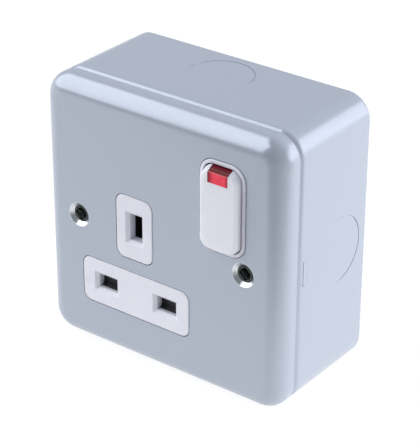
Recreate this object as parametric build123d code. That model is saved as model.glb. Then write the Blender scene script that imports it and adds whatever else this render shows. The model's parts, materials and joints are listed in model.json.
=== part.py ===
from build123d import *
import os
from math import cos, radians, sin

# Axes: X to the right, Z up, Y into the wall. The back face lies on Y = 0, centred on the origin.
# Depths are measured from the plate's front face towards the wall. All sizes are in millimetres.

# Steel plate and box
SIDE = 86.4
CORNER_R = 7.75
SHEET = 1.2
PLATE_DEPTH = 8.0
PLATE_EDGE_R = 5.75
BOX_DEPTH = 35.8
BOX_BACK_R = 2.0
BOX_LIP_DROP = 1.0
BOX_LIP_RUN = 1.7
BOX_LIP_R = 2.0
PLATE_LIP_R = 0.4

# Knockouts, wall fixing holes and box earth terminal
KNOCKOUT_D = 20.8
KNOCKOUT_FROM_BACK = 15.0
KNOCKOUT_GROOVE = 0.3
KNOCKOUT_CUT = 0.05
KNOCKOUT_TILT = 1.5
KNOCKOUT_TIE = 15.0
KNOCKOUT_TIE_AT = 75.0
FIXING_PITCH = 50.0
FIXING_D = 5.0
BOX_EARTH_INSET = 12.2
BOX_EARTH_Z = -14.0
BOX_EARTH_SIZE = 8.0

# Plate screws and the lugs that take them
SCREW_PITCH = 60.3
SCREW_D = 3.4
SCREW_LENGTH = 15.0
HEAD_D = 5.3
COUNTERSINK_D = 7.5
RECESS_D = 3.6
RECESS_SPAN = 4.0
RECESS_ARM = 1.0
RECESS_DEPTH = 1.8
LUG_DEPTH = 10.8
LUG_T = 1.6
LUG_WIDTH = 8.6
LUG_TENON = 8.2
LUG_SLACK = 0.2
LUG_BOSS_D = 6.4
LUG_BOSS_LENGTH = 2.6

# Pin holes, to the standard pattern for 13 A plugs
PIN_X = -9.0
LN_Z = -20.4
PIN_SPREAD = 22.2
EARTH_RISE = 22.2
THROAT_LN = (7.0, 4.6)
THROAT_EARTH = (4.6, 8.6)
MOUTH = 1.0
EARTH_PIN_REACH = 22.7

# White islands seen through the plate
EARTH_ISLAND = (13.8, 21.0)
LN_ISLAND = (40.4, 15.4)
ISLAND_R = 3.0
ISLAND_PROUD = 0.15
ISLAND_EDGE_R = 0.3
ISLAND_GAP = 0.25

# Switch surround and rocker
SWITCH_X = 22.9
SWITCH_Z = 18.8
SURROUND = (16.2, 29.0)
SURROUND_R = 5.0
SURROUND_RING = 1.0
SURROUND_PROUD = 0.35
ROCKER_SIDE_GAP = 0.35
ROCKER_END_GAP = 0.3
ROCKER_PROUD = 2.65
ROCKER_TILT = 4.0
FACE_TOP_INSET = 1.35
FACE_BOTTOM_INSET = 0.25
FACE_SIDE_INSET = 0.1
ROCKER_EDGE_R = 0.9
ROCKER_WALL = 1.4
ROCKER_TAIL = 2.2
PIVOT_DEPTH = 2.2
TRUNNION_D = 2.1
TRUNNION_LENGTH = 1.1
LENS_WIDTH = 6.85
LENS_FACE = 3.2
LENS_WALL = 3.2
LENS_GROOVES = 3
LENS_GROOVE = 0.2

# Switch works
POLE_SPREAD = 7.0
PLUNGER_D = 2.84
PLUNGER_REACH = 10.0
PLUNGER_BORE_END = 6.0
PLUNGER_TUBE_WALL = 0.75
LEVER_T = 1.0
LEVER_WIDTH = 4.4
LEVER_ARM = 7.0
LEVER_END = 1.5
LEVER_TILT = 8.0
BUTTON_D = 2.8
BUTTON_T = 0.7
LAMP_D = 4.0
LAMP_LENGTH = 8.0
RESISTOR_D = 2.0
RESISTOR_LENGTH = 6.0
LEAD_D = 0.5

# Mouldings
COVER_WALL = 2.1
COVER_EDGE = 2.4
CASE_WALL = 1.8
WEB = 1.6
REAR_COVER_T = 1.4
ASSEMBLY_SCREW_D = 2.8
ASSEMBLY_HEAD_D = 5.0
STUD_D = 3.0
STUD_LENGTH = 7.0
NUT_ACROSS_FLATS = 5.5
NUT_T = 2.4

# Shutter and its spring
SHUTTER_T = 2.5
SHUTTER_OVERLAP = 1.0
SHUTTER_RAIL = 2.4
SHUTTER_HEAD = 3.4
NOSE_WALL = 0.8
NOSE_RISE = 0.75
SPRING_D = 2.6
SPRING_WIRE = 0.4
SPRING_LENGTH = 14.0
SPRING_TURNS = 5

# Brass
STRIP = 0.8
BEND_R = 0.8
ARM_WIDTH = 4.0
JAW_LENGTH = 10.0
JAW_NIP = 3.7
TERMINAL = 8.0
TERMINAL_WALL = 1.1
TERMINAL_Z = 28.0
TERMINAL_PITCH = 13.0
CLAMP_SCREW_D = 4.0
FIXED_ARM = 3.0
STRAP_WIDTH = 5.0
STRAP_FOOT = 4.0

# Clearances
RUN_GAP = 0.2
FIT_GAP = 0.05
LOOSE_GAP = 0.3

# Levels, as depths behind the plate's front face
TOTAL_DEPTH = PLATE_DEPTH + BOX_DEPTH
COVER_REAR = SHEET + COVER_WALL
NOSE_ROOM = SHEET + NOSE_WALL
NOSE_NEAR = NOSE_ROOM + RUN_GAP
SHUTTER_NEAR = COVER_REAR + RUN_GAP
SHUTTER_FAR = SHUTTER_NEAR + SHUTTER_T
POCKET_FLOOR = SHUTTER_FAR + RUN_GAP
CHAMBER_NEAR = POCKET_FLOOR + WEB
ARM_NEAR = CHAMBER_NEAR + 2 * LOOSE_GAP + JAW_LENGTH
ARM_FAR = ARM_NEAR + STRIP
FULCRUM = PIVOT_DEPTH + PLUNGER_REACH + RUN_GAP + LEVER_T
BUTTON_LEVEL = FULCRUM + (LEVER_ARM + BUTTON_D / 2) * sin(radians(LEVER_TILT)) + BUTTON_T + RUN_GAP / 2
FIXED_NEAR = BUTTON_LEVEL + BUTTON_T
FIXED_FAR = FIXED_NEAR + STRIP
EARTH_ARM_NEAR = EARTH_PIN_REACH + 3 * LOOSE_GAP
EARTH_ARM_FAR = EARTH_ARM_NEAR + STRIP
CASE_REAR = EARTH_ARM_FAR + 2 * LOOSE_GAP
WIRE_HOLE_D = EARTH_ARM_NEAR - FIXED_FAR - 2 * TERMINAL_WALL
WIRE_DEPTH = (FIXED_FAR + EARTH_ARM_NEAR) / 2
STRAP_DEPTH = WIRE_DEPTH

# Places seen from the front, as x and z
BOX_EARTH_X = BOX_EARTH_INSET - SIDE / 2
EARTH_Z = LN_Z + EARTH_RISE
LINE_X = PIN_X + PIN_SPREAD / 2
NEUTRAL_X = PIN_X - PIN_SPREAD / 2
LINE_POLE_X = SWITCH_X + POLE_SPREAD / 2
NEUTRAL_POLE_X = SWITCH_X - POLE_SPREAD / 2
TRAVEL = THROAT_LN[1] + SHUTTER_OVERLAP + RUN_GAP
EARTH_TOP = EARTH_Z + THROAT_EARTH[1] / 2
RAMP_TOP = EARTH_TOP + 2 * RUN_GAP
RAMP_LOW = EARTH_TOP + RUN_GAP - TRAVEL
RAMP_FAR = SHUTTER_NEAR + TRAVEL
EARTH_CHAMBER_NEAR = RAMP_FAR + RUN_GAP + WEB
SHUTTER_TOP = RAMP_TOP + SHUTTER_HEAD
BAR_HALF = THROAT_LN[1] / 2 + SHUTTER_OVERLAP
NOSE_LOW = LN_Z - BAR_HALF
NOSE_SILL = LN_Z - THROAT_LN[1] / 2
NOSE_TOP = NOSE_SILL + NOSE_RISE
WINDOW_HALF = THROAT_EARTH[0] / 2 + RUN_GAP
STEM_HALF = WINDOW_HALF + SHUTTER_RAIL
JAW_ROOM = THROAT_LN[0] / 2 + SHUTTER_OVERLAP
SPRING_X = PIN_X
SPRING_SEAT = SHUTTER_TOP + SPRING_LENGTH
SPRING_DEPTH = (SHUTTER_NEAR + SHUTTER_FAR) / 2
WELL = (SURROUND[0] - 2 * (ISLAND_GAP + SURROUND_RING), SURROUND[1] - 2 * (ISLAND_GAP + SURROUND_RING))
WELL_R = SURROUND_R - ISLAND_GAP - SURROUND_RING
PIVOT_SWAY = PIVOT_DEPTH * sin(radians(ROCKER_TILT))
ROCKER = (WELL[0] - 2 * ROCKER_SIDE_GAP, WELL[1] - 2 * (ROCKER_END_GAP + PIVOT_SWAY / 2))
ROCKER_R = WELL_R - ROCKER_SIDE_GAP
ROCKER_FACE = PIVOT_DEPTH + ROCKER_PROUD
ROCKER_FLOOR = ROCKER_WALL + LENS_WALL / 3 - ROCKER_FACE
CROWN_BASE = 0.75 * PIVOT_DEPTH
SWITCH_ROOM = (WELL[0] + 2 * TRUNNION_LENGTH, WELL[1] + 2 * LOOSE_GAP)
LINE_TERMINAL_X = SWITCH_X - SWITCH_ROOM[0] / 2 - CASE_WALL - LOOSE_GAP - TERMINAL / 2
NEUTRAL_TERMINAL_X = LINE_TERMINAL_X - TERMINAL_PITCH
EARTH_TERMINAL_X = NEUTRAL_TERMINAL_X - TERMINAL_PITCH
ROCKER_SWING = ROCKER[1] / 2 * sin(radians(ROCKER_TILT))
LAMP_DEPTH = PIVOT_DEPTH + ROCKER_TAIL + ROCKER_SWING + 2 * LOOSE_GAP + LAMP_D / 2
LAMP_Z = SWITCH_Z + ROCKER[1] / 2 - SHUTTER_OVERLAP - LAMP_D / 2
RESISTOR_DEPTH = FIXED_NEAR - LOOSE_GAP - RESISTOR_D / 2
RESISTOR_Z = TERMINAL_Z + FIXED_ARM / 2

# Outline of the mouldings behind the plate: left, right, bottom and top
SHUTTER_HALF = PIN_SPREAD / 2 + THROAT_LN[0] / 2 + SHUTTER_OVERLAP
CASE_LEFT = PIN_X - SHUTTER_HALF - LOOSE_GAP - CASE_WALL
CASE_STEP_X = PIN_X + SHUTTER_HALF + 2 * LOOSE_GAP + ARM_WIDTH + CASE_WALL
CASE_RIGHT = SWITCH_X + SWITCH_ROOM[0] / 2 + CASE_WALL
CASE_BOTTOM = LN_Z - LN_ISLAND[1] / 2 - CASE_WALL
CASE_STEP_Z = SWITCH_Z - SWITCH_ROOM[1] / 2 - CASE_WALL
CASE_TOP = max(SWITCH_Z + SWITCH_ROOM[1] / 2, TERMINAL_Z + TERMINAL / 2 + LOOSE_GAP) + CASE_WALL
COVER_LEFT = PIN_X - LN_ISLAND[0] / 2 - COVER_EDGE
COVER_RIGHT = SWITCH_X + SURROUND[0] / 2 + COVER_EDGE
COVER_BOTTOM = LN_Z - LN_ISLAND[1] / 2 - COVER_EDGE
COVER_TOP = SWITCH_Z + SURROUND[1] / 2 + COVER_EDGE
SCREW_NOTCH_R = HEAD_D / 2 + 2 * LOOSE_GAP
STRAP_LOW = TERMINAL_Z - STRAP_WIDTH / 2 - LOOSE_GAP
STRAP_HIGH = TERMINAL_Z + STRAP_WIDTH / 2 + LOOSE_GAP
STUDS = ((COVER_LEFT - STUD_D / 2, SWITCH_Z), (SWITCH_X, LN_Z + STUD_D))
ASSEMBLY_SCREWS = (
    (CASE_LEFT + CASE_WALL + ASSEMBLY_SCREW_D / 2, TERMINAL_Z - TERMINAL / 2 - ASSEMBLY_SCREW_D),
    (CASE_STEP_X - CASE_WALL - ASSEMBLY_SCREW_D / 2, CASE_BOTTOM + CASE_WALL + ASSEMBLY_SCREW_D / 2),
)

# Centre lines of the brass strips, seen from the front
LINE_ARM = (
    (LINE_X, LN_Z),
    (CASE_STEP_X - CASE_WALL - ARM_WIDTH / 2 - LOOSE_GAP, LN_Z),
    (CASE_STEP_X - CASE_WALL - ARM_WIDTH / 2 - LOOSE_GAP, SWITCH_Z - 2.5 * ARM_WIDTH),
    (LINE_POLE_X, SWITCH_Z - 2.5 * ARM_WIDTH),
    (LINE_POLE_X, SWITCH_Z + STRIP),
)
NEUTRAL_ARM = (
    (NEUTRAL_X, LN_Z),
    (NEUTRAL_X, SWITCH_Z - 1.25 * ARM_WIDTH),
    (NEUTRAL_POLE_X, SWITCH_Z - 1.25 * ARM_WIDTH),
    (NEUTRAL_POLE_X, SWITCH_Z + STRIP),
)
EARTH_ARM = ((PIN_X, EARTH_Z), (EARTH_TERMINAL_X, EARTH_Z), (EARTH_TERMINAL_X, TERMINAL_Z + TERMINAL / 2))
BUTTON_Z = SWITCH_Z + LEVER_ARM
LINE_FEED = (
    (LINE_TERMINAL_X, TERMINAL_Z + FIXED_ARM / 2),
    (LINE_POLE_X, TERMINAL_Z + FIXED_ARM / 2),
    (LINE_POLE_X, BUTTON_Z - BUTTON_D / 2 - LOOSE_GAP),
)
NEUTRAL_FEED = (
    (NEUTRAL_TERMINAL_X, TERMINAL_Z + FIXED_ARM / 2),
    (NEUTRAL_TERMINAL_X, TERMINAL_Z - TERMINAL / 2 - FIXED_ARM),
    (NEUTRAL_POLE_X, TERMINAL_Z - TERMINAL / 2 - FIXED_ARM),
    (NEUTRAL_POLE_X, BUTTON_Z + BUTTON_D / 2 + LOOSE_GAP),
)


def facing(x, depth, z):
    """A plane parallel to the front face, whose normal points at the viewer."""
    return Plane(origin=(x, depth - TOTAL_DEPTH, z), x_dir=(1, 0, 0), z_dir=(0, -1, 0))


def prism(sketch, x, z, near, far):
    """A sketch seen from the front, made solid between two depths."""
    return extrude(facing(x, far, z) * sketch, far - near)


def block(left, right, bottom, top, near, far):
    sketch = Rectangle(right - left, top - bottom)
    return prism(sketch, (left + right) / 2, (bottom + top) / 2, near, far)


def side_plane(x):
    """A plane across X, with depth and height as its own axes."""
    return Plane(origin=(x, -TOTAL_DEPTH, 0), x_dir=(0, 1, 0), z_dir=(1, 0, 0))


def rod_across(x, depth, z, radius, length):
    """A round bar along X, centred on the given point."""
    return extrude(side_plane(x) * Pos(depth, z) * Circle(radius), length / 2, both=True)


def upright_rod(x, depth, bottom, top, radius):
    """A round bar along Z."""
    base = Plane(origin=(x, depth - TOTAL_DEPTH, bottom))
    return extrude(base * Circle(radius), top - bottom)


def flat_strip(points, width, near, far):
    """A flat metal strip that follows a centre line seen from the front."""
    path = FilletPolyline(*points, radius=BEND_R + width / 2)
    return prism(trace(path, width), 0, 0, near, far)


def front_edges(shape):
    return shape.faces().sort_by(Axis.Y)[0].edges()


def rear_edges(shape):
    return shape.faces().sort_by(Axis.Y)[-1].edges()


def rounded_prism(size, radius, x, z, near, far, edge_r):
    """A rounded bar whose front edge is rolled over."""
    bar = prism(RectangleRounded(size[0], size[1], radius), x, z, near, far)
    return fillet(front_edges(bar), edge_r)


def front_plate():
    square = (SIDE, SIDE)
    hollow = (SIDE - 2 * SHEET, SIDE - 2 * SHEET)
    plate = rounded_prism(square, CORNER_R, 0, 0, 0, PLATE_DEPTH, PLATE_EDGE_R)
    plate = fillet(rear_edges(plate), PLATE_LIP_R)
    plate -= rounded_prism(hollow, CORNER_R - SHEET, 0, 0, SHEET, PLATE_DEPTH, PLATE_EDGE_R - SHEET)
    for size, x, z, radius in (
        (EARTH_ISLAND, PIN_X, EARTH_Z, ISLAND_R),
        (LN_ISLAND, PIN_X, LN_Z, ISLAND_R),
        (SURROUND, SWITCH_X, SWITCH_Z, SURROUND_R),
    ):
        plate -= prism(RectangleRounded(size[0], size[1], radius), x, z, -SHEET, 2 * SHEET)
    for side in (-1, 1):
        align = (Align.CENTER, Align.CENTER, Align.MIN)
        cone = Cone(COUNTERSINK_D / 2 - SHEET, COUNTERSINK_D / 2, SHEET, align=align)
        plate -= facing(side * SCREW_PITCH / 2, SHEET, 0) * cone
    return plate


def knockout(plane):
    """The sheared ring of a knockout in the wall that the plane lies on, deep on its far side and fading on the near."""
    arc = Pos(KNOCKOUT_D / 2, (SHEET - KNOCKOUT_CUT) / 2) * Rectangle(KNOCKOUT_GROOVE, SHEET + KNOCKOUT_CUT)
    section = Plane(origin=(0, 0, 0), x_dir=(1, 0, 0), z_dir=(0, -1, 0)) * arc
    rings = []
    for start in (KNOCKOUT_TIE_AT + KNOCKOUT_TIE / 2, KNOCKOUT_TIE_AT + KNOCKOUT_TIE / 2 + 180):
        ring = Rot(0, 0, start) * revolve(section, Axis.Z, revolution_arc=180 - KNOCKOUT_TIE)
        rings.append(plane * (Rot(0, KNOCKOUT_TILT, 0) * ring))
    return rings


def box_outside():
    """The box as a solid block, its front lip sloped in behind the plate."""
    lip = PLATE_DEPTH + BOX_LIP_RUN
    small = SIDE - 2 * BOX_LIP_DROP
    mouth = facing(0, PLATE_DEPTH, 0) * RectangleRounded(small, small, CORNER_R - BOX_LIP_DROP)
    outline = RectangleRounded(SIDE, SIDE, CORNER_R)
    box = fillet(rear_edges(prism(outline, 0, 0, lip, TOTAL_DEPTH)), BOX_BACK_R)
    box += loft([mouth, facing(0, lip, 0) * outline], ruled=True)
    crease = box.edges().filter_by_position(Axis.Y, lip - TOTAL_DEPTH - FIT_GAP, lip - TOTAL_DEPTH + FIT_GAP)
    return fillet(crease, BOX_LIP_R)


def back_box():
    box = box_outside()
    hollow = SIDE - 2 * SHEET
    room = prism(RectangleRounded(hollow, hollow, CORNER_R - SHEET), 0, 0, PLATE_DEPTH, TOTAL_DEPTH - SHEET)
    box -= fillet(rear_edges(room), BOX_BACK_R - SHEET)
    for turn in range(4):
        wall = Plane(origin=(0, -KNOCKOUT_FROM_BACK, SIDE / 2), x_dir=(0, 1, 0), z_dir=(0, 0, 1))
        box -= [Rot(0, 90 * turn, 0) * ring for ring in knockout(wall)]
    box -= knockout(Plane(origin=(0, 0, 0), x_dir=(1, 0, 0), z_dir=(0, 1, 0)))
    for x in (-FIXING_PITCH / 2, FIXING_PITCH / 2):
        for z in (-FIXING_PITCH / 2, FIXING_PITCH / 2):
            box -= prism(Circle(FIXING_D / 2), x, z, TOTAL_DEPTH - 2 * SHEET, TOTAL_DEPTH + SHEET)
    slot = RectangleRounded(LUG_T + LUG_SLACK + 2 * FIT_GAP, LUG_TENON + 2 * FIT_GAP, LUG_T / 2)
    for side in (-1, 1):
        place = side_plane(side * SIDE / 2) * Pos(LUG_DEPTH + (LUG_T - LUG_SLACK) / 2, 0)
        box -= extrude(place * slot, 2 * SHEET, both=True)
    return box


def screw_lug(side):
    """A steel lug held in the box's wall by its tenon, with a drawn boss for the plate screw."""
    wall = SIDE / 2 - SHEET
    reach = SCREW_PITCH / 2
    outline = Rectangle(wall - reach, LUG_WIDTH, align=(Align.MIN, Align.CENTER)) + Circle(LUG_WIDTH / 2)
    lug = prism(outline, reach, 0, LUG_DEPTH, LUG_DEPTH + LUG_T)
    tenon = RectangleRounded(LUG_T, LUG_TENON, LUG_T / 2 - FIT_GAP)
    lug += extrude(side_plane(wall) * Pos(LUG_DEPTH + LUG_T / 2, 0) * tenon, SHEET)
    lug += prism(Circle(LUG_BOSS_D / 2), reach, 0, LUG_DEPTH, LUG_DEPTH + LUG_T + LUG_BOSS_LENGTH)
    lug -= prism(Circle(SCREW_D / 2 + FIT_GAP), reach, 0, LUG_DEPTH - SHEET, TOTAL_DEPTH)
    return lug if side > 0 else mirror(lug, about=Plane.YZ)


def plate_screw(side):
    x = side * SCREW_PITCH / 2
    sunk = (COUNTERSINK_D - HEAD_D) / 2 - FIT_GAP
    cone = (HEAD_D - SCREW_D) / 2
    align = (Align.CENTER, Align.CENTER, Align.MIN)
    screw = facing(x, sunk + cone, 0) * Cone(SCREW_D / 2, HEAD_D / 2, cone, align=align)
    screw += prism(Circle(SCREW_D / 2), x, 0, sunk + cone, sunk + SCREW_LENGTH)
    screw -= facing(x, sunk + RECESS_DEPTH, 0) * Cone(RECESS_ARM / 2, RECESS_D / 2, RECESS_DEPTH, align=align)
    cross = Rectangle(RECESS_SPAN, RECESS_ARM) + Rectangle(RECESS_ARM, RECESS_SPAN)
    return screw - prism(cross, x, 0, 0, sunk + RECESS_DEPTH / 4)


def island(size, radius, x, z, proud):
    fit = (size[0] - 2 * ISLAND_GAP, size[1] - 2 * ISLAND_GAP)
    return rounded_prism(fit, radius - ISLAND_GAP, x, z, -proud, SHEET + COVER_WALL / 2, ISLAND_EDGE_R)


def pin_hole(size, x, z):
    """A straight throat with a lead-in at its mouth."""
    throat = prism(Rectangle(*size), x, z, -MOUTH, COVER_REAR + MOUTH)
    inner = facing(x, MOUTH - ISLAND_PROUD, z) * Rectangle(*size)
    outer = facing(x, -ISLAND_PROUD, z) * Rectangle(size[0] + 2 * MOUTH, size[1] + 2 * MOUTH)
    return throat + loft([inner, outer])


def pin_holes():
    return [
        pin_hole(THROAT_EARTH, PIN_X, EARTH_Z),
        pin_hole(THROAT_LN, LINE_X, LN_Z),
        pin_hole(THROAT_LN, NEUTRAL_X, LN_Z),
    ]


def nose_rooms():
    """Pockets behind the two lower slots, for the shutter's noses to rise in."""
    half = THROAT_LN[0] / 2 + RUN_GAP
    top = NOSE_TOP + TRAVEL + LOOSE_GAP
    low = NOSE_LOW - LOOSE_GAP
    return [block(x - half, x + half, low, top, NOSE_ROOM, COVER_REAR + SHEET) for x in (LINE_X, NEUTRAL_X)]


def trunnion_seat():
    """Open slots that the rocker's trunnions drop into from behind."""
    width = ROCKER[0] + 2 * (TRUNNION_LENGTH + RUN_GAP)
    radius = TRUNNION_D / 2 + FIT_GAP
    seat = rod_across(SWITCH_X, PIVOT_DEPTH, SWITCH_Z, radius, width)
    return seat + prism(Rectangle(width, 2 * radius), SWITCH_X, SWITCH_Z, PIVOT_DEPTH, COVER_REAR + SHEET)


def screw_notch(side, radius):
    """A round-ended notch from the side, around a plate screw or its lug."""
    notch = Circle(radius) + Rectangle(SIDE, 2 * radius, align=(Align.MIN, Align.CENTER))
    turned = notch if side > 0 else Rot(0, 0, 180) * notch
    return prism(turned, side * SCREW_PITCH / 2, 0, 0, TOTAL_DEPTH)


def front_moulding():
    width = COVER_RIGHT - COVER_LEFT
    height = COVER_TOP - COVER_BOTTOM
    middle = ((COVER_LEFT + COVER_RIGHT) / 2, (COVER_BOTTOM + COVER_TOP) / 2)
    cover = prism(RectangleRounded(width, height, COVER_EDGE), middle[0], middle[1], SHEET, COVER_REAR)
    ear_x, ear_z = STUDS[0]
    ear = Circle(STUD_D) + Rectangle(2 * STUD_D, 2 * STUD_D, align=(Align.MIN, Align.CENTER))
    cover += prism(ear, ear_x, ear_z, SHEET, COVER_REAR)
    cover += island(EARTH_ISLAND, ISLAND_R, PIN_X, EARTH_Z, ISLAND_PROUD)
    cover += island(LN_ISLAND, ISLAND_R, PIN_X, LN_Z, ISLAND_PROUD)
    cover += island(SURROUND, SURROUND_R, SWITCH_X, SWITCH_Z, SURROUND_PROUD)
    cover -= pin_holes()
    cover -= nose_rooms()
    cover -= prism(RectangleRounded(WELL[0], WELL[1], WELL_R), SWITCH_X, SWITCH_Z, -SHEET, COVER_REAR + SHEET)
    cover -= trunnion_seat()
    cover -= block(COVER_LEFT - STUD_D, CASE_LEFT, STRAP_LOW, STRAP_HIGH, 0, COVER_REAR + SHEET)
    for side in (-1, 1):
        cover -= screw_notch(side, SCREW_NOTCH_R)
    for x, z in STUDS:
        cover -= prism(Circle(STUD_D / 2 + FIT_GAP), x, z, 0, COVER_REAR + SHEET)
    pilot = Circle(ASSEMBLY_SCREW_D / 2 + FIT_GAP)
    for x, z in ASSEMBLY_SCREWS:
        cover -= prism(pilot, x, z, SHEET + COVER_WALL / 3, COVER_REAR + SHEET)
    return cover


def case_outline():
    """The housing seen from the front: a tall left part and a short right part for the switch."""
    tall = Pos((CASE_LEFT + CASE_STEP_X) / 2, (CASE_BOTTOM + CASE_TOP) / 2) * Rectangle(
        CASE_STEP_X - CASE_LEFT, CASE_TOP - CASE_BOTTOM
    )
    short = Pos((CASE_LEFT + CASE_RIGHT) / 2, (CASE_STEP_Z + CASE_TOP) / 2) * Rectangle(
        CASE_RIGHT - CASE_LEFT, CASE_TOP - CASE_STEP_Z
    )
    outline = tall + short
    return fillet(outline.vertices(), CASE_WALL)


def contact_rooms():
    """Room for the three jaws, with the pin holes that lead into it."""
    jaw_room = Rectangle(2 * JAW_ROOM, 2 * JAW_ROOM)
    live_hole = Rectangle(THROAT_LN[0] + 2 * RUN_GAP, THROAT_LN[1] + 2 * RUN_GAP)
    earth_hole = Rectangle(THROAT_EARTH[0] + 2 * RUN_GAP, THROAT_EARTH[1] + 2 * RUN_GAP)
    rooms = [
        prism(earth_hole, PIN_X, EARTH_Z, COVER_REAR, CASE_REAR),
        prism(jaw_room, PIN_X, EARTH_Z, EARTH_CHAMBER_NEAR, CASE_REAR),
    ]
    for x in (LINE_X, NEUTRAL_X):
        rooms.append(prism(live_hole, x, LN_Z, COVER_REAR, ARM_NEAR))
        rooms.append(prism(jaw_room, x, LN_Z, CHAMBER_NEAR, CASE_REAR))
    return rooms


def shutter_room():
    """Pocket that the shutter and its spring run in."""
    bar = SHUTTER_HALF + LOOSE_GAP
    stem = STEM_HALF + LOOSE_GAP
    low = NOSE_LOW - LOOSE_GAP
    high = LN_Z + BAR_HALF + TRAVEL + LOOSE_GAP
    top = SHUTTER_TOP + TRAVEL + LOOSE_GAP
    ramp = WINDOW_HALF + LOOSE_GAP
    coil_half = SPRING_D / 2 + LOOSE_GAP
    return [
        block(PIN_X - bar, PIN_X + bar, low, high, COVER_REAR, POCKET_FLOOR),
        block(PIN_X - stem, PIN_X + stem, low, top, COVER_REAR, POCKET_FLOOR),
        block(PIN_X - ramp, PIN_X + ramp, RAMP_LOW - LOOSE_GAP, top, COVER_REAR, RAMP_FAR + RUN_GAP),
        block(PIN_X - coil_half, PIN_X + coil_half, SHUTTER_TOP, SPRING_SEAT, COVER_REAR, POCKET_FLOOR),
    ]


def switch_room():
    """Room behind the rocker, with slots in its floor for the two fulcrum posts."""
    wide, tall = SWITCH_ROOM
    floor = FIXED_FAR + LOOSE_GAP
    rooms = [prism(Rectangle(wide, tall), SWITCH_X, SWITCH_Z, COVER_REAR, floor)]
    for x in (LINE_POLE_X, NEUTRAL_POLE_X):
        rooms.append(prism(Rectangle(LEVER_WIDTH, 3 * STRIP), x, SWITCH_Z, floor - STRIP, ARM_NEAR + STRIP))
    return rooms


def terminal_rooms():
    """Pockets for the terminals and their strips, and the wire holes above them."""
    half = TERMINAL / 2 + LOOSE_GAP
    rooms = []
    for x in (EARTH_TERMINAL_X, NEUTRAL_TERMINAL_X, LINE_TERMINAL_X):
        rooms.append(block(x - half, x + half, TERMINAL_Z - half, TERMINAL_Z + half, FIXED_FAR, CASE_REAR))
        rooms.append(upright_rod(x, WIRE_DEPTH, TERMINAL_Z, CASE_TOP + SHEET, WIRE_HOLE_D / 2))
    for route in (LINE_FEED, NEUTRAL_FEED):
        rooms.append(flat_strip(route, FIXED_ARM + 2 * LOOSE_GAP, FIXED_NEAR, CASE_REAR))
    strap = block(CASE_LEFT - SHEET, EARTH_TERMINAL_X, STRAP_LOW, STRAP_HIGH, STRAP_DEPTH - STRIP, CASE_REAR)
    rooms.append(strap)
    return rooms


def lamp_cradle():
    """Two saddles that hold the lamp under the roof of the switch room."""
    roof = SWITCH_Z + SWITCH_ROOM[1] / 2 + CASE_WALL / 2
    saddles = []
    for side in (-1, 1):
        x = SWITCH_X + side * LAMP_LENGTH / 3
        rib = block(x - STRIP, x + STRIP, LAMP_Z, roof, LAMP_DEPTH - LAMP_D / 2, LAMP_DEPTH + LAMP_D)
        saddles.append(rib - rod_across(x, LAMP_DEPTH, LAMP_Z, LAMP_D / 2 + FIT_GAP, LAMP_LENGTH))
    return saddles


def trunnion_stops():
    """Pads that close the trunnion slots from behind."""
    inner = WELL[0] / 2 + RUN_GAP
    outer = (SWITCH_ROOM[0] + CASE_WALL) / 2
    pad = Rectangle(outer - inner, 2 * TRUNNION_D)
    reach = (inner + outer) / 2
    return [prism(pad, SWITCH_X + side * reach, SWITCH_Z, COVER_REAR, POCKET_FLOOR) for side in (-1, 1)]


def base_moulding():
    outline = case_outline()
    case = prism(outline, 0, 0, COVER_REAR, CASE_REAR)
    case -= prism(offset(outline, -CASE_WALL), 0, 0, ARM_NEAR, CASE_REAR)
    for x, z in ASSEMBLY_SCREWS:
        case += prism(Circle(ASSEMBLY_SCREW_D / 2 + CASE_WALL / 2), x, z, COVER_REAR, CASE_REAR)
    case -= contact_rooms()
    case -= shutter_room()
    case -= switch_room()
    case -= terminal_rooms()
    case += lamp_cradle()
    case += trunnion_stops()
    for x, z in ASSEMBLY_SCREWS:
        case -= prism(Circle(ASSEMBLY_SCREW_D / 2 + FIT_GAP), x, z, 0, TOTAL_DEPTH)
    for side in (-1, 1):
        case -= screw_notch(side, LUG_WIDTH / 2 + LOOSE_GAP)
    return case


def rear_cover():
    far = CASE_REAR + REAR_COVER_T
    cover = prism(case_outline(), 0, 0, CASE_REAR, far)
    for x, z in ASSEMBLY_SCREWS:
        cover -= prism(Circle(ASSEMBLY_SCREW_D / 2 + FIT_GAP), x, z, 0, TOTAL_DEPTH)
    for x in (EARTH_TERMINAL_X, NEUTRAL_TERMINAL_X, LINE_TERMINAL_X):
        cover -= prism(Circle(CLAMP_SCREW_D / 2 + LOOSE_GAP), x, TERMINAL_Z, 0, TOTAL_DEPTH)
    return cover


def assembly_screw(x, z):
    far = CASE_REAR + REAR_COVER_T
    screw = prism(Circle(ASSEMBLY_SCREW_D / 2), x, z, SHEET + COVER_WALL / 3 + FIT_GAP, far)
    screw += prism(Circle(ASSEMBLY_HEAD_D / 2), x, z, far, far + ASSEMBLY_SCREW_D / 2)
    slot = Rectangle(ASSEMBLY_HEAD_D, STRIP)
    return screw - prism(slot, x, z, far + ASSEMBLY_SCREW_D / 4, far + ASSEMBLY_SCREW_D)


def plate_stud(x, z):
    return prism(Circle(STUD_D / 2), x, z, SHEET, SHEET + STUD_LENGTH)


def stud_nut(x, z):
    hexagon = RegularPolygon(NUT_ACROSS_FLATS / 2, 6, major_radius=False)
    return prism(hexagon - Circle(STUD_D / 2 + FIT_GAP), x, z, COVER_REAR, COVER_REAR + NUT_T)


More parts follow.
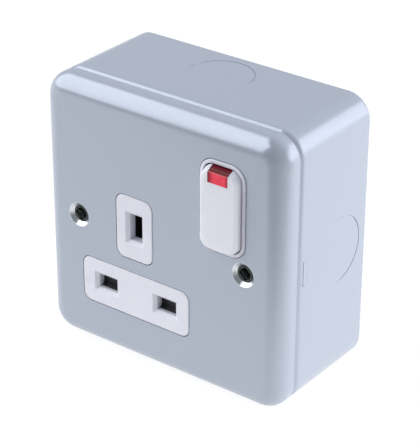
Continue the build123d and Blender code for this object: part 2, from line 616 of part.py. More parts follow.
def shutter():
    """A bar with a sloped nose behind each lower slot, hung from a ramp that the earth pin lifts."""
    bar = Rectangle(2 * SHUTTER_HALF, 2 * BAR_HALF)
    slide = prism(bar, PIN_X, LN_Z, SHUTTER_NEAR, SHUTTER_FAR)
    slide += block(PIN_X - STEM_HALF, PIN_X + STEM_HALF, LN_Z, SHUTTER_TOP, SHUTTER_NEAR, SHUTTER_FAR)
    left, right = PIN_X - WINDOW_HALF, PIN_X + WINDOW_HALF
    slide -= block(left, right, LN_Z + BAR_HALF, RAMP_TOP, SHUTTER_NEAR, SHUTTER_FAR)
    ramp = Polyline((SHUTTER_NEAR, RAMP_TOP), (RAMP_FAR, RAMP_LOW), (RAMP_FAR, RAMP_TOP), close=True)
    slide += extrude(side_plane(PIN_X) * make_face(ramp), WINDOW_HALF, both=True)
    slide += block(left, right, RAMP_TOP, SHUTTER_TOP, SHUTTER_NEAR, RAMP_FAR)
    nose = Polyline(
        (SHUTTER_FAR, NOSE_LOW),
        (NOSE_NEAR, NOSE_LOW),
        (NOSE_NEAR, NOSE_SILL),
        (SHUTTER_NEAR, NOSE_TOP),
        (SHUTTER_FAR, NOSE_TOP),
        close=True,
    )
    for x in (LINE_X, NEUTRAL_X):
        slide += extrude(side_plane(x) * make_face(nose), THROAT_LN[0] / 2, both=True)
    spigot_r = SPRING_D / 2 - 2 * SPRING_WIRE
    return slide + upright_rod(SPRING_X, SPRING_DEPTH, SHUTTER_TOP, SHUTTER_TOP + SPRING_D, spigot_r)


def coil(outer_d, wire, length, turns):
    """A spring of square wire that stands along Z on its base."""
    rise = length - 2 * wire
    path = Helix(pitch=rise / turns, height=rise, radius=(outer_d - wire) / 2)
    section = Plane(origin=path @ 0, x_dir=(1, 0, 0), z_dir=path % 0) * Rectangle(wire, wire)
    return Pos(0, 0, wire) * sweep(section, path, is_frenet=True)


def shutter_spring():
    spring = coil(SPRING_D, SPRING_WIRE, SPRING_LENGTH, SPRING_TURNS)
    return Pos(SPRING_X, SPRING_DEPTH - TOTAL_DEPTH, SHUTTER_TOP) * spring


def in_rocker(shape):
    """Places a shape drawn about the rocker's own axis, at the tilt shown in the photo."""
    return Pos(SWITCH_X, PIVOT_DEPTH - TOTAL_DEPTH, SWITCH_Z) * Rot(ROCKER_TILT, 0, 0) * shape


def square_to_face(shape):
    """Turns a shape drawn square to the front face, which lies level with the plate in the photo."""
    return Rot(-ROCKER_TILT, 0, 0) * shape


def rocker_section(y, end_inset, side_inset):
    plane = Plane(origin=(0, y, 0), x_dir=(1, 0, 0), z_dir=(0, -1, 0))
    radius = ROCKER_R - max(end_inset, side_inset) / 2
    return plane * RectangleRounded(ROCKER[0] - 2 * side_inset, ROCKER[1] - 2 * end_inset, radius)


def rocker_crown():
    """The part of the rocker that stands in front of its surround, sloped at its top end."""
    wide = ROCKER[0] - 2 * FACE_SIDE_INSET
    tall = ROCKER[1] - FACE_TOP_INSET - FACE_BOTTOM_INSET
    middle = (FACE_BOTTOM_INSET - FACE_TOP_INSET) / 2
    plane = Plane(origin=(0, -ROCKER_FACE, middle), x_dir=(1, 0, 0), z_dir=(0, -1, 0))
    face = square_to_face(plane * RectangleRounded(wide, tall, ROCKER_R - FACE_SIDE_INSET))
    return loft([rocker_section(-CROWN_BASE, 0, 0), face], ruled=True)


def rocker_waist():
    return extrude(rocker_section(-PIVOT_DEPTH / 2, 0, 0), CROWN_BASE - PIVOT_DEPTH / 2)


def lens_room():
    """The notch in the rocker's top end that the lens fills."""
    bottom = ROCKER[1] / 2 - FACE_TOP_INSET - LENS_FACE
    room = Box(LENS_WIDTH, LENS_WALL + ROCKER_PROUD, ROCKER[1], align=(Align.CENTER, Align.MIN, Align.MIN))
    return square_to_face(Pos(0, -ROCKER_FACE - ROCKER_PROUD, bottom) * room)


def rocker():
    crown = rocker_crown()
    crown = fillet(front_edges(crown), ROCKER_EDGE_R)
    tail = [rocker_section(ROCKER_TAIL, ROCKER_TAIL / 2, 0), rocker_section(-PIVOT_DEPTH / 2, 0, 0)]
    key = crown + rocker_waist() + loft(tail, ruled=True)
    room = rocker_section(ROCKER_TAIL + SHEET, ROCKER_TAIL / 2 + ROCKER_WALL, ROCKER_WALL)
    key -= extrude(room, ROCKER_TAIL + SHEET - ROCKER_FLOOR)
    trunnion = extrude(Plane.YZ * Circle(TRUNNION_D / 2), ROCKER[0] / 2 + TRUNNION_LENGTH, both=True)
    trunnion -= Box(ROCKER[0] - ROCKER_WALL, ROCKER[0], ROCKER[0])
    key += trunnion
    tube_r = PLUNGER_D / 2 + FIT_GAP + PLUNGER_TUBE_WALL
    for side in (-1, 1):
        key += plunger_rod(side, tube_r, ROCKER_FLOOR - STRIP, PLUNGER_BORE_END)
    for side in (-1, 1):
        key -= plunger_rod(side, PLUNGER_D / 2 + FIT_GAP, ROCKER_FLOOR, PLUNGER_BORE_END + SHEET)
    key -= lens_room()
    return in_rocker(key)


def plunger_rod(side, radius, near, far):
    """A bar along the rocker's plunger axis, between two distances behind its pivot."""
    base = Plane(origin=(side * POLE_SPREAD / 2, far, 0), x_dir=(1, 0, 0), z_dir=(0, -1, 0))
    return extrude(base * Circle(radius), far - near)


def lens_grooves():
    """Fine lines across the lens's end wall, from its front edge inwards."""
    tilt = radians(ROCKER_TILT)
    edge = (-ROCKER_FACE, ROCKER[1] / 2 - FACE_TOP_INSET)
    foot_y = -CROWN_BASE * cos(tilt) - ROCKER[1] / 2 * sin(tilt)
    foot_z = ROCKER[1] / 2 * cos(tilt) - CROWN_BASE * sin(tilt)
    grooves = []
    for count in range(LENS_GROOVES):
        share = (count + 1) / (2 * LENS_GROOVES)
        y = edge[0] + share * (foot_y - edge[0])
        z = edge[1] + share * (foot_z - edge[1])
        grooves.append(square_to_face(Pos(0, y, z) * Box(LENS_WIDTH, LENS_GROOVE, LENS_GROOVE)))
    return grooves


def neon_lens():
    lens = (rocker_crown() + rocker_waist()) & lens_room()
    lens -= lens_grooves()
    return in_rocker(lens)


def plunger(side):
    rod = plunger_rod(side, PLUNGER_D / 2, PLUNGER_BORE_END / 2, PLUNGER_REACH - PLUNGER_D / 2)
    tip = Pos(side * POLE_SPREAD / 2, PLUNGER_REACH - PLUNGER_D / 2, 0) * Sphere(PLUNGER_D / 2)
    return in_rocker(rod + tip)


def plunger_spring(side):
    length = PLUNGER_BORE_END / 2 - ROCKER_FLOOR
    spring = coil(PLUNGER_D - FIT_GAP, SPRING_WIRE, length, SPRING_TURNS - 2)
    return in_rocker(Pos(side * POLE_SPREAD / 2, ROCKER_FLOOR, 0) * Rot(-90, 0, 0) * spring)


def contact_lever(x):
    """A see-saw blade that rocks on its fulcrum, with a button at its upper end."""
    blade_end = LEVER_ARM + LEVER_END
    blade = Pos(0, -LEVER_T / 2, 0) * Box(LEVER_WIDTH, LEVER_T, 2 * blade_end)
    blade = fillet(blade.edges().filter_by(Axis.Y), LEVER_END)
    base = Plane(origin=(0, BUTTON_T, LEVER_ARM), x_dir=(1, 0, 0), z_dir=(0, -1, 0))
    blade += extrude(base * Circle(BUTTON_D / 2), BUTTON_T)
    return Pos(x, FULCRUM - TOTAL_DEPTH, SWITCH_Z) * Rot(-LEVER_TILT, 0, 0) * blade


def fixed_contact(route, pole_x):
    strip = flat_strip(route, FIXED_ARM, FIXED_NEAR, FIXED_FAR)
    return strip + prism(Circle(BUTTON_D / 2), pole_x, BUTTON_Z, BUTTON_LEVEL, FIXED_NEAR)


def jaws(plane, near, base, width):
    """Two spring leaves folded up from one strip, drawn in at the nip and flared at the mouth."""
    nip = (JAW_NIP + STRIP) / 2
    wide = nip + STRIP
    spine = base + STRIP / 2
    nip_at = near + 2 * STRIP
    leaf = [(near, wide), (nip_at, nip), (spine, wide)]
    points = leaf + [(depth, -reach) for depth, reach in reversed(leaf)]
    path = FilletPolyline(*points, radius=BEND_R)
    return extrude(plane * trace(path, STRIP), width / 2, both=True)


def live_contact(x, route, pole_x):
    """Jaws for a flat pin, the arm to the switch and the fulcrum post at its end."""
    plane = Plane(origin=(x, -TOTAL_DEPTH, LN_Z), x_dir=(0, 1, 0), z_dir=(1, 0, 0))
    contact = jaws(plane, CHAMBER_NEAR + 2 * LOOSE_GAP, ARM_NEAR, THROAT_LN[0] - STRIP)
    contact += flat_strip(route, ARM_WIDTH, ARM_NEAR, ARM_FAR)
    post = Rectangle(ARM_WIDTH - STRIP / 2, STRIP)
    post = prism(post, pole_x, SWITCH_Z, FULCRUM + FIT_GAP, ARM_NEAR)
    tip = post.faces().sort_by(Axis.Y)[0].edges().filter_by(Axis.X)
    return contact + fillet(tip, STRIP / 2 - FIT_GAP)


def earth_contact():
    plane = Plane(origin=(PIN_X, -TOTAL_DEPTH, EARTH_Z), x_dir=(0, 1, 0), z_dir=(0, 0, -1))
    contact = jaws(plane, EARTH_CHAMBER_NEAR + 2 * LOOSE_GAP, EARTH_ARM_NEAR, THROAT_EARTH[1] - STRIP)
    contact += flat_strip(EARTH_ARM, ARM_WIDTH, EARTH_ARM_NEAR, EARTH_ARM_FAR)
    hole = Circle(CLAMP_SCREW_D / 2 - STRIP / 2)
    return contact - prism(hole, EARTH_TERMINAL_X, TERMINAL_Z, 0, TOTAL_DEPTH)


def terminal(x):
    half = TERMINAL / 2
    body = block(x - half, x + half, TERMINAL_Z - half, TERMINAL_Z + half, FIXED_FAR, EARTH_ARM_NEAR)
    body -= upright_rod(x, WIRE_DEPTH, 0, CASE_TOP, WIRE_HOLE_D / 2)
    body -= prism(Circle(CLAMP_SCREW_D / 2), x, TERMINAL_Z, WIRE_DEPTH, TOTAL_DEPTH)
    return body


def clamp_screw(x, shank_d):
    screw = prism(Circle(shank_d / 2 - FIT_GAP), x, TERMINAL_Z, WIRE_DEPTH + WIRE_HOLE_D / 4, EARTH_ARM_FAR)
    screw += prism(Circle(CLAMP_SCREW_D / 2), x, TERMINAL_Z, EARTH_ARM_FAR, CASE_REAR + REAR_COVER_T)
    slot = Rectangle(CLAMP_SCREW_D, STRIP)
    return screw - prism(slot, x, TERMINAL_Z, CASE_REAR, TOTAL_DEPTH)


def terminal_screws():
    plain = CLAMP_SCREW_D
    waisted = CLAMP_SCREW_D - STRIP
    return [
        clamp_screw(LINE_TERMINAL_X, plain),
        clamp_screw(NEUTRAL_TERMINAL_X, plain),
        clamp_screw(EARTH_TERMINAL_X, waisted),
    ]


def earth_strap():
    """From the earth terminal, out through the housing's side and forward onto the plate."""
    start = EARTH_TERMINAL_X - TERMINAL / 2 - STRIP / 2
    outside = CASE_LEFT - LOOSE_GAP - STRIP / 2
    foot = SHEET + STRIP / 2
    points = (
        (start, EARTH_ARM_NEAR),
        (start, STRAP_DEPTH),
        (outside, STRAP_DEPTH),
        (outside, foot),
        (outside - STRAP_FOOT, foot),
    )
    plane = Plane(origin=(0, -TOTAL_DEPTH, TERMINAL_Z), x_dir=(1, 0, 0), z_dir=(0, 0, 1))
    return extrude(plane * trace(FilletPolyline(*points, radius=BEND_R), STRIP), STRAP_WIDTH / 2, both=True)


def neon_lamp():
    """A small glass tube with a domed end."""
    tube = rod_across(SWITCH_X, LAMP_DEPTH, LAMP_Z, LAMP_D / 2, LAMP_LENGTH)
    dome = Pos(SWITCH_X + LAMP_LENGTH / 2, LAMP_DEPTH - TOTAL_DEPTH, LAMP_Z) * Sphere(LAMP_D / 2)
    return tube + dome


def neon_resistor():
    body = rod_across(SWITCH_X, RESISTOR_DEPTH, RESISTOR_Z, RESISTOR_D / 2, RESISTOR_LENGTH)
    return fillet(body.edges().filter_by(GeomType.CIRCLE), RESISTOR_D / 5)


def lead(points):
    """A bare wire through points given as x, depth and z."""
    path = Polyline(*[(x, depth - TOTAL_DEPTH, z) for x, depth, z in points])
    section = Plane(origin=path @ 0, z_dir=path % 0) * Circle(LEAD_D / 2)
    return sweep(section, path, transition=Transition.RIGHT)


def neon_leads():
    lamp_end = SWITCH_X - LAMP_LENGTH / 2
    bend = lamp_end - RESISTOR_D
    wall = SWITCH_X - SWITCH_ROOM[0] / 2 + 2 * LEAD_D
    body = RESISTOR_LENGTH / 2
    low = LAMP_Z - LAMP_D / 4
    feed_x = LINE_POLE_X + LEAD_D
    feed_z = NEUTRAL_FEED[1][1]
    touch = FIXED_NEAR - LEAD_D / 2
    return [
        lead([
            (lamp_end, LAMP_DEPTH, LAMP_Z + LAMP_D / 4),
            (bend, LAMP_DEPTH, LAMP_Z + LAMP_D / 4),
            (bend, RESISTOR_DEPTH, RESISTOR_Z),
            (SWITCH_X - body, RESISTOR_DEPTH, RESISTOR_Z),
        ]),
        lead([
            (SWITCH_X + body, RESISTOR_DEPTH, RESISTOR_Z),
            (feed_x, RESISTOR_DEPTH, RESISTOR_Z),
            (feed_x, FIXED_NEAR, RESISTOR_Z),
        ]),
        lead([
            (lamp_end, LAMP_DEPTH, low),
            (wall, LAMP_DEPTH, low),
            (wall, touch, feed_z),
            (wall + RESISTOR_D, touch, feed_z),
        ]),
    ]


def box_earth_terminal():
    """A drilled brass block riveted inside the back of the box."""
    half = BOX_EARTH_SIZE / 2
    inside = TOTAL_DEPTH - SHEET
    square = Rectangle(BOX_EARTH_SIZE, BOX_EARTH_SIZE)
    body = prism(square, BOX_EARTH_X, BOX_EARTH_Z, inside - BOX_EARTH_SIZE, inside)
    body -= upright_rod(BOX_EARTH_X, inside - half, BOX_EARTH_Z - SIDE, BOX_EARTH_Z + SIDE, WIRE_HOLE_D / 2)
    return body - prism(Circle(CLAMP_SCREW_D / 2), BOX_EARTH_X, BOX_EARTH_Z, 0, inside - half)


def box_earth_screw():
    top = TOTAL_DEPTH - SHEET - BOX_EARTH_SIZE
    low = TOTAL_DEPTH - SHEET - BOX_EARTH_SIZE / 2
    screw = prism(Circle(CLAMP_SCREW_D / 2 - FIT_GAP), BOX_EARTH_X, BOX_EARTH_Z, top, low)
    screw += prism(Circle(BOX_EARTH_SIZE / 2 - STRIP), BOX_EARTH_X, BOX_EARTH_Z, top - 2 * STRIP, top)
    slot = Rectangle(BOX_EARTH_SIZE, STRIP)
    return screw - prism(slot, BOX_EARTH_X, BOX_EARTH_Z, top - 3 * STRIP, top - STRIP)


def group(solids):
    return Compound(children=list(solids))


PARTS = {
    "front_plate": front_plate,
    "back_box": back_box,
    "screw_lug_left": lambda: screw_lug(-1),
    "screw_lug_right": lambda: screw_lug(1),
    "plate_screws": lambda: group([plate_screw(-1), plate_screw(1)]),
    "front_moulding": front_moulding,
    "base_moulding": base_moulding,
    "rear_cover": rear_cover,
    "assembly_screws": lambda: group(assembly_screw(x, z) for x, z in ASSEMBLY_SCREWS),
    "plate_studs": lambda: group(plate_stud(x, z) for x, z in STUDS),
    "stud_nuts": lambda: group(stud_nut(x, z) for x, z in STUDS),
    "shutter": shutter,
    "shutter_spring": shutter_spring,
    "rocker": rocker,
    "neon_lens": neon_lens,
    "line_plunger": lambda: plunger(1),
    "neutral_plunger": lambda: plunger(-1),
    "line_plunger_spring": lambda: plunger_spring(1),
    "neutral_plunger_spring": lambda: plunger_spring(-1),
    "line_lever": lambda: contact_lever(LINE_POLE_X),
    "neutral_lever": lambda: contact_lever(NEUTRAL_POLE_X),
    "line_fixed_contact": lambda: fixed_contact(LINE_FEED, LINE_POLE_X),
    "neutral_fixed_contact": lambda: fixed_contact(NEUTRAL_FEED, NEUTRAL_POLE_X),
    "line_contact": lambda: live_contact(LINE_X, LINE_ARM, LINE_POLE_X),
    "neutral_contact": lambda: live_contact(NEUTRAL_X, NEUTRAL_ARM, NEUTRAL_POLE_X),
    "earth_contact": earth_contact,
    "line_terminal": lambda: terminal(LINE_TERMINAL_X),
    "neutral_terminal": lambda: terminal(NEUTRAL_TERMINAL_X),
    "earth_terminal": lambda: terminal(EARTH_TERMINAL_X),
    "terminal_screws": lambda: group(terminal_screws()),
    "earth_strap": earth_strap,
    "neon_lamp": neon_lamp,
    "neon_resistor": neon_resistor,
    "neon_leads": lambda: group(neon_leads()),
    "box_earth_terminal": box_earth_terminal,
    "box_earth_screw": box_earth_screw,
}

os.makedirs("parts", exist_ok=True)
for node, make in PARTS.items():
    export_step(make(), f"parts/{node}.step")
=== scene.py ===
import json
import math

import bpy
from mathutils import Matrix, Vector


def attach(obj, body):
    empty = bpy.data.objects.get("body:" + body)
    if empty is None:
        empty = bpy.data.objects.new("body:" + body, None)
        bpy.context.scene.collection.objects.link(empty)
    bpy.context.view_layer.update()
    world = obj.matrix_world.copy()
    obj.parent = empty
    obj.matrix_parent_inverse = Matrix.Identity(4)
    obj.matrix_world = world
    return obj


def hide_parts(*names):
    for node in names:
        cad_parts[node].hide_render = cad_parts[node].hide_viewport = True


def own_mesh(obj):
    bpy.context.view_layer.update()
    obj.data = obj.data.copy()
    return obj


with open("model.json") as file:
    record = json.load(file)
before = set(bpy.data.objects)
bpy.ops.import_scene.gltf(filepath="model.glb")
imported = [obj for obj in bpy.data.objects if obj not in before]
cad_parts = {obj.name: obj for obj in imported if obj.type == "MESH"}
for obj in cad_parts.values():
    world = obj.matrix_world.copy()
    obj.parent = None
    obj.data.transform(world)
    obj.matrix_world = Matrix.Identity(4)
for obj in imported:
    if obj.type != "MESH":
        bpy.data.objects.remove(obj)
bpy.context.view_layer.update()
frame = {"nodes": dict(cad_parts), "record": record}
nodes = frame["nodes"]
scene = bpy.context.scene
scene.view_settings.view_transform = "Standard"

# Sizes in metres, repeated from the part
SIDE = 0.0864
TOTAL_DEPTH = 0.0438
SCREW_REACH = 0.03015
CUP_R = 0.00385
LUG_PAINTED = 0.0003
LENS_LEFT = 0.01947
LENS_WIDTH = 0.00686
LENS_FACE_Y = -0.04645
LENS_DEPTH = 0.0032

# Painted shade strips on the lens's front, by distance from its left and right edges; the left one is a
# painted reflection of the lens's inner side wall
LENS_LEFT_PAINTED_SHADE = (0.0004, 0.0019)
LENS_RIGHT_PAINTED_SHADE = (0.0011, 0.0002)
LENS_FRONT_DEPTH = 0.00004

# The silver paint
PAINT_DARK = (0.405, 0.443, 0.522)
PAINT_LIGHT = (0.455, 0.495, 0.580)
PAINT_METAL = 0.35

# Painted light down the lens's end wall, by share of its depth from the front edge inwards: a painted
# highlight at the front edge, painted highlights on two ribs, and painted shade deeper in
LENS_WALL_PAINTED_LIGHT = (
    (0.07, (0.62, 0.20, 0.18)),
    (0.10, (0.22, 0.035, 0.045)),
    (0.30, (0.25, 0.05, 0.055)),
    (0.33, (0.42, 0.16, 0.15)),
    (0.37, (0.40, 0.14, 0.14)),
    (0.40, (0.16, 0.03, 0.035)),
    (0.55, (0.17, 0.008, 0.022)),
)

# The floor: how far towards the camera it stays bright, and where it has faded
FLOOR_HALF = 4.0
FLOOR_GAP = 0.00005
FLOOR_BRIGHT_TO = 0.095
FLOOR_FADED_AT = 0.17

# Edges sharper than this stay crisp, and points closer than this are one
CRISP_ANGLE = math.radians(28)
WELD_GAP = 0.000001

# The camera solved from the photograph
AZIMUTH = math.radians(37.11)
ELEVATION = math.radians(27.76)
ROLL = math.radians(0.18)
DISTANCE = 0.54248
TARGET = Vector((0, -TOTAL_DEPTH / 2, 0))
FOCAL_PX = 1825.62
LONG_SIDE_PX = 444
SENSOR_MM = 36
SHIFT = (0.0124, -0.0135)


def make_camera():
    data = bpy.data.cameras.new("camera")
    data.sensor_width = SENSOR_MM
    data.lens = FOCAL_PX * SENSOR_MM / LONG_SIDE_PX
    data.shift_x, data.shift_y = SHIFT
    data.clip_start, data.clip_end = 0.01, 20
    level = math.cos(ELEVATION)
    back = Vector((math.sin(AZIMUTH) * level, -math.cos(AZIMUTH) * level, math.sin(ELEVATION)))
    right = Vector((math.cos(AZIMUTH), math.sin(AZIMUTH), 0))
    up = right.cross(-back)
    tilted_right = math.cos(ROLL) * right + math.sin(ROLL) * up
    tilted_up = -math.sin(ROLL) * right + math.cos(ROLL) * up
    place = Matrix((tilted_right, tilted_up, back)).transposed().to_4x4()
    place.translation = TARGET + DISTANCE * back
    camera = bpy.data.objects.new("camera", data)
    camera.matrix_world = place
    scene.collection.objects.link(camera)
    scene.camera = camera


def add(tree, kind, inputs=None, **settings):
    """A shader node with its settings and input values."""
    made = tree.nodes.new(kind)
    for key, value in settings.items():
        setattr(made, key, value)
    for key, value in (inputs or {}).items():
        if isinstance(value, bpy.types.NodeSocket):
            tree.links.new(value, made.inputs[key])
        else:
            made.inputs[key].default_value = value
    return made


def start(name, **shader):
    """A new material, its tree, its shader and the coordinates that go with the piece."""
    made = bpy.data.materials.new(name)
    made.use_nodes = True
    tree = made.node_tree
    principled = tree.nodes["Principled BSDF"]
    for key, value in shader.items():
        principled.inputs[key.replace("_", " ")].default_value = value
    place = add(tree, "ShaderNodeTexCoord").outputs["Object"]
    return made, tree, principled, place


def noise(tree, place, scale, detail=2.0, roughness=0.5):
    values = {"Vector": place, "Scale": scale, "Detail": detail, "Roughness": roughness}
    return add(tree, "ShaderNodeTexNoise", values).outputs["Fac"]


def ramp(tree, factor, low, high, dark, light):
    """Two colours with a soft step between two values of the factor."""
    made = add(tree, "ShaderNodeValToRGB", {"Fac": factor})
    ends = made.color_ramp.elements
    ends[0].position, ends[1].position = low, high
    ends[0].color, ends[1].color = (*dark, 1), (*light, 1)
    return made.outputs["Color"]


def spread(tree, factor, low, high, lowest, highest):
    """The factor's range mapped onto another range."""
    values = {"Value": factor, "From Min": low, "From Max": high, "To Min": lowest, "To Max": highest}
    return add(tree, "ShaderNodeMapRange", values).outputs["Result"]


def math_node(tree, operation, a, b=None):
    made = add(tree, "ShaderNodeMath", {0: a}, operation=operation)
    if isinstance(b, bpy.types.NodeSocket):
        tree.links.new(b, made.inputs[1])
    elif b is not None:
        made.inputs[1].default_value = b
    return made.outputs[0]


def mix_colour(tree, factor, a, b):
    made = add(tree, "ShaderNodeMix", {"Factor": factor}, data_type="RGBA")
    for socket, value in ((made.inputs[6], a), (made.inputs[7], b)):
        if isinstance(value, bpy.types.NodeSocket):
            tree.links.new(value, socket)
        else:
            socket.default_value = (*value, 1)
    return made.outputs[2]


def mix_value(tree, factor, a, b):
    made = add(tree, "ShaderNodeMix", {"Factor": factor}, data_type="FLOAT")
    for socket, value in ((made.inputs[2], a), (made.inputs[3], b)):
        if isinstance(value, bpy.types.NodeSocket):
            tree.links.new(value, socket)
        else:
            socket.default_value = value
    return made.outputs[0]


def bump(tree, principled, height, strength, distance):
    values = {"Height": height, "Strength": strength, "Distance": distance}
    made = add(tree, "ShaderNodeBump", values)
    tree.links.new(made.outputs["Normal"], principled.inputs["Normal"])


def screw_cup_mask(tree, place):
    """One inside the two screw cups, where the plate's edge is bare plated steel."""
    parts = add(tree, "ShaderNodeSeparateXYZ", {"Vector": place}).outputs
    across = math_node(tree, "SUBTRACT", math_node(tree, "ABSOLUTE", parts["X"]), SCREW_REACH)
    across_squared = math_node(tree, "MULTIPLY", across, across)
    height_squared = math_node(tree, "MULTIPLY", parts["Z"], parts["Z"])
    far = math_node(tree, "ADD", across_squared, height_squared)
    return math_node(tree, "LESS_THAN", far, CUP_R * CUP_R)


def silver_paint(name, cups):
    """Satin silver paint over sheet steel, with fine flake and a slight orange peel."""
    made, tree, principled, place = start(name, Specular_IOR_Level=0.5)
    flake = noise(tree, place, 7000, 2)
    slow = noise(tree, place, 40, 3)
    colour = ramp(tree, flake, 0.35, 0.65, PAINT_DARK, PAINT_LIGHT)
    rough = spread(tree, slow, 0.3, 0.7, 0.22, 0.26)
    if cups:
        mask = screw_cup_mask(tree, place)
        colour = mix_colour(tree, mask, colour, (0.66, 0.68, 0.72))
        rough = mix_value(tree, mask, rough, 0.24)
        metallic = mix_value(tree, mask, PAINT_METAL, 1.0)
        tree.links.new(metallic, principled.inputs["Metallic"])
    else:
        principled.inputs["Metallic"].default_value = PAINT_METAL
    tree.links.new(colour, principled.inputs["Base Color"])
    tree.links.new(rough, principled.inputs["Roughness"])
    bump(tree, principled, noise(tree, place, 1400, 3), 0.15, 0.00002)
    return made


def lug_steel(name):
    """Bright zinc plate, with the end that fills the slot in the box wall painted like the box."""
    made, tree, principled, place = start(name)
    across = add(tree, "ShaderNodeSeparateXYZ", {"Vector": place}).outputs["X"]
    reach = math_node(tree, "ABSOLUTE", across)
    mask = math_node(tree, "GREATER_THAN", reach, SIDE / 2 - LUG_PAINTED)
    streak = noise(tree, place, 2500, 4, 0.6)
    zinc = ramp(tree, streak, 0.3, 0.7, (0.62, 0.63, 0.65), (0.78, 0.79, 0.80))
    paint = ramp(tree, noise(tree, place, 7000, 2), 0.35, 0.65, PAINT_DARK, PAINT_LIGHT)
    tree.links.new(mix_colour(tree, mask, zinc, paint), principled.inputs["Base Color"])
    tree.links.new(mix_value(tree, mask, 0.22, 0.24), principled.inputs["Roughness"])
    tree.links.new(mix_value(tree, mask, 1.0, PAINT_METAL), principled.inputs["Metallic"])
    bump(tree, principled, streak, 0.15, 0.00001)
    return made


def moulded(name, dark, light, rough, glow=0.0):
    """Moulded plastic: a little cloudy, with a fine skin, uneven gloss and light let through at the edges."""
    made, tree, principled, place = start(name, Subsurface_Weight=glow, Subsurface_Scale=0.0015)
    principled.inputs["Subsurface Radius"].default_value = (1.0, 0.9, 0.85)
    cloud = noise(tree, place, 120, 3)
    tree.links.new(ramp(tree, cloud, 0.3, 0.7, dark, light), principled.inputs["Base Color"])
    tree.links.new(spread(tree, cloud, 0.3, 0.7, rough * 0.9, rough * 1.1), principled.inputs["Roughness"])
    bump(tree, principled, noise(tree, place, 2600, 2), 0.2, 0.00001)
    return made


def metal(name, dark, light, rough, scale):
    """Plated or rolled metal with fine drawn streaks."""
    made, tree, principled, place = start(name, Metallic=1.0)
    stretched = add(tree, "ShaderNodeMapping", {"Vector": place, "Scale": (1.0, 0.12, 1.0)}).outputs["Vector"]
    streak = noise(tree, stretched, scale, 4, 0.6)
    tree.links.new(ramp(tree, streak, 0.3, 0.7, dark, light), principled.inputs["Base Color"])
    tree.links.new(spread(tree, streak, 0.3, 0.7, rough * 0.8, rough * 1.25), principled.inputs["Roughness"])
    bump(tree, principled, streak, 0.15, 0.00001)
    return made


def red_lens(name):
    """Clear red moulding: its front has a painted glow and painted shade strips, and its ribbed end wall has
    painted highlights and painted shade.
    """
    made, tree, principled, place = start(name, Specular_IOR_Level=0.04, Transmission_Weight=0.1, IOR=1.49)
    parts = add(tree, "ShaderNodeSeparateXYZ", {"Vector": place}).outputs
    behind = math_node(tree, "SUBTRACT", parts["Y"], LENS_FACE_Y)
    aside = math_node(tree, "SUBTRACT", parts["X"], LENS_LEFT)
    cloud = noise(tree, place, 500, 2)
    lit = ramp(tree, cloud, 0.3, 0.7, (0.85, 0.072, 0.115), (0.95, 0.098, 0.146))
    # Painted shade along the front's left and right edges; the left one stands in for the inner side wall's
    # reflection
    left_painted_shade = spread(tree, aside, *LENS_LEFT_PAINTED_SHADE, 0.0, 1.0)
    right_painted_shade = spread(tree, aside, *(LENS_WIDTH - edge for edge in LENS_RIGHT_PAINTED_SHADE), 0.0, 1.0)
    front = mix_colour(tree, left_painted_shade, (0.20, 0.03, 0.045), lit)
    front = mix_colour(tree, right_painted_shade, front, (0.42, 0.03, 0.05))
    # The end wall's colour is painted light: the first stop is a painted highlight at the kink, the last is
    # painted shade towards the inside
    wall_painted_light = add(tree, "ShaderNodeValToRGB", {"Fac": spread(tree, behind, 0.0, LENS_DEPTH, 0.0, 1.0)})
    stops = wall_painted_light.color_ramp.elements
    stops[0].position, stops[0].color = 0.0, (0.80, 0.30, 0.28, 1)
    stops[1].position, stops[1].color = 1.0, (0.14, 0.004, 0.016, 1)
    for share, band in LENS_WALL_PAINTED_LIGHT:
        stops.new(share).color = (*band, 1)
    slope = math_node(tree, "GREATER_THAN", behind, LENS_FRONT_DEPTH)
    colour = mix_colour(tree, slope, front, wall_painted_light.outputs["Color"])
    tree.links.new(colour, principled.inputs["Base Color"])
    # Painted glow: only the front facet emits a little red light
    tree.links.new(spread(tree, slope, 0.0, 1.0, 0.10, 0.0), principled.inputs["Emission Strength"])
    principled.inputs["Emission Color"].default_value = (1.0, 0.06, 0.10, 1)
    tree.links.new(spread(tree, cloud, 0.3, 0.7, 0.12, 0.18), principled.inputs["Roughness"])
    return made


def glass(name):
    """Clear tube, faintly warm."""
    made, tree, principled, place = start(name, Transmission_Weight=0.9, IOR=1.5)
    cloud = noise(tree, place, 700, 2)
    tint = ramp(tree, cloud, 0.3, 0.7, (0.92, 0.80, 0.74), (0.98, 0.90, 0.86))
    tree.links.new(tint, principled.inputs["Base Color"])
    tree.links.new(spread(tree, cloud, 0.3, 0.7, 0.03, 0.08), principled.inputs["Roughness"])
    return made


def smooth(obj):
    """Round faces shade as round, and edges stay crisp."""
    for face in obj.data.polygons:
        face.use_smooth = True
    weld = obj.modifiers.new("weld", "WELD")
    weld.merge_threshold = WELD_GAP
    split = obj.modifiers.new("edges", "EDGE_SPLIT")
    split.split_angle = CRISP_ANGLE
    flat = obj.modifiers.new("flats", "WEIGHTED_NORMAL")
    flat.mode = "FACE_AREA_WITH_ANGLE"


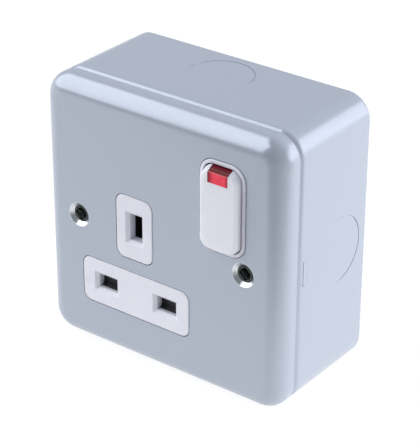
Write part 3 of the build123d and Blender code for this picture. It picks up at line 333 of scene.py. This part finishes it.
def dress():
    """Gives each CAD piece its material."""
    white = ((0.78, 0.78, 0.86), (0.82, 0.82, 0.90), 0.30, 0.3)
    key = ((0.83, 0.835, 0.91), (0.87, 0.875, 0.95), 0.26, 0.5)
    black = ((0.012, 0.012, 0.014), (0.022, 0.022, 0.025), 0.5)
    shutter = ((0.008, 0.008, 0.009), (0.016, 0.016, 0.018), 0.55)
    looks = {
        "silver_paint": silver_paint("silver_paint", False),
        "white_plastic": moulded("white_plastic", *white),
        "rocker_plastic": moulded("rocker_plastic", *key),
        "black_plastic": moulded("black_plastic", *black),
        "shutter_plastic": moulded("shutter_plastic", *shutter),
        "red_lens": red_lens("red_lens"),
        "zinc_steel": metal("zinc_steel", (0.62, 0.63, 0.65), (0.78, 0.79, 0.80), 0.22, 2500),
        "spring_steel": metal("spring_steel", (0.38, 0.39, 0.41), (0.52, 0.53, 0.55), 0.28, 3000),
        "brass": metal("brass", (0.66, 0.46, 0.17), (0.80, 0.60, 0.26), 0.26, 1800),
        "lamp_glass": glass("lamp_glass"),
        "resistor_body": moulded("resistor_body", (0.55, 0.38, 0.20), (0.66, 0.47, 0.27), 0.3),
        "tinned_wire": metal("tinned_wire", (0.60, 0.60, 0.61), (0.75, 0.75, 0.76), 0.2, 3000),
    }
    lug = lug_steel("lug_steel")
    own = {
        "front_plate": silver_paint("plate_paint", True),
        "screw_lug_left": lug,
        "screw_lug_right": lug,
        # Near-black, faintly green steel keeps the screw heads dark
        "plate_screws": metal("near_black_steel", (0.03, 0.036, 0.036), (0.07, 0.08, 0.08), 0.22, 2500),
    }
    for part in frame["record"]["subparts"]:
        obj = nodes[part["node"]]
        look = own.get(part["node"], looks[part["material_slot"]])
        obj.data.materials.clear()
        obj.data.materials.append(look)
        smooth(obj)


def make_spring():
    """A copy of the shutter's spring, attached to the housing, in place of the CAD spring."""
    solid = nodes["shutter_spring"]
    spring = bpy.data.objects.new("shutter_spring_coil", solid.data.copy())
    spring.matrix_world = solid.matrix_world
    scene.collection.objects.link(spring)
    smooth(spring)
    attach(spring, "housing")
    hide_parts("shutter_spring")
    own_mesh(spring)


def make_floor():
    """A pale floor, bright round the object and fading towards the camera."""
    mesh = bpy.data.meshes.new("floor")
    half = FLOOR_HALF
    low = -SIDE / 2 - FLOOR_GAP
    corners = [(-half, -half, low), (half, -half, low), (half, half, low), (-half, half, low)]
    mesh.from_pydata(corners, [], [(0, 1, 2, 3)])
    floor = bpy.data.objects.new("floor", mesh)
    scene.collection.objects.link(floor)
    made, tree, principled, place = start("floor", Roughness=0.7, Specular_IOR_Level=0.1)
    tint = ramp(tree, noise(tree, place, 30, 2), 0.3, 0.7, (0.18, 0.18, 0.18), (0.20, 0.20, 0.20))
    tree.links.new(tint, principled.inputs["Base Color"])
    toward = (math.sin(AZIMUTH), -math.cos(AZIMUTH), 0)
    along = add(tree, "ShaderNodeVectorMath", {0: place, 1: toward}, operation="DOT_PRODUCT")
    near = along.outputs["Value"]
    glow = spread(tree, near, FLOOR_BRIGHT_TO, FLOOR_FADED_AT, 0.87, 0.30)
    tree.links.new(glow, principled.inputs["Emission Strength"])
    principled.inputs["Emission Color"].default_value = (1, 1, 1, 1)
    mesh.materials.append(made)


def area_light(name, place, target, size, power, colour=(1, 1, 1)):
    data = bpy.data.lights.new(name, "AREA")
    data.shape = "RECTANGLE"
    data.size, data.size_y = size
    data.energy = power
    data.color = colour
    lamp = bpy.data.objects.new(name, data)
    lamp.location = place
    lamp.rotation_mode = "QUATERNION"
    lamp.rotation_quaternion = (Vector(target) - Vector(place)).to_track_quat("-Z", "Y")
    scene.collection.objects.link(lamp)
    return lamp


def make_lights():
    """A dim studio, paler behind, with a large soft box at the left, one behind and one at the right.

    The right one is left out of reflections, so that it makes no hot spot on the plate's rounded corner.
    """
    world = bpy.data.worlds.new("studio")
    world.use_nodes = True
    tree = world.node_tree
    toward = add(tree, "ShaderNodeTexCoord").outputs["Generated"]
    back = add(tree, "ShaderNodeSeparateXYZ", {"Vector": toward}).outputs["Y"]
    share = spread(tree, back, -1.0, 1.0, 0.0, 1.0)
    sky = ramp(tree, share, 0.42, 0.72, (0.26, 0.275, 0.295), (0.68, 0.71, 0.76))
    tree.links.new(sky, tree.nodes["Background"].inputs["Color"])
    scene.world = world
    cool = (0.98, 0.99, 1.0)
    aim = (0, -0.02, 0)
    area_light("left_box", (-1.13, -0.60, 0.95), aim, (2.0, 1.85), 27.0, cool)
    area_light("back_box", (1.33, 1.12, 0.58), aim, (1.8, 1.2), 9.5, cool)
    right_box = area_light("right_box", (1.75, 0.45, 0.30), aim, (0.9, 0.8), 26.5, cool)
    right_box.visible_glossy = False


make_camera()
dress()
make_spring()
make_floor()
make_lights()
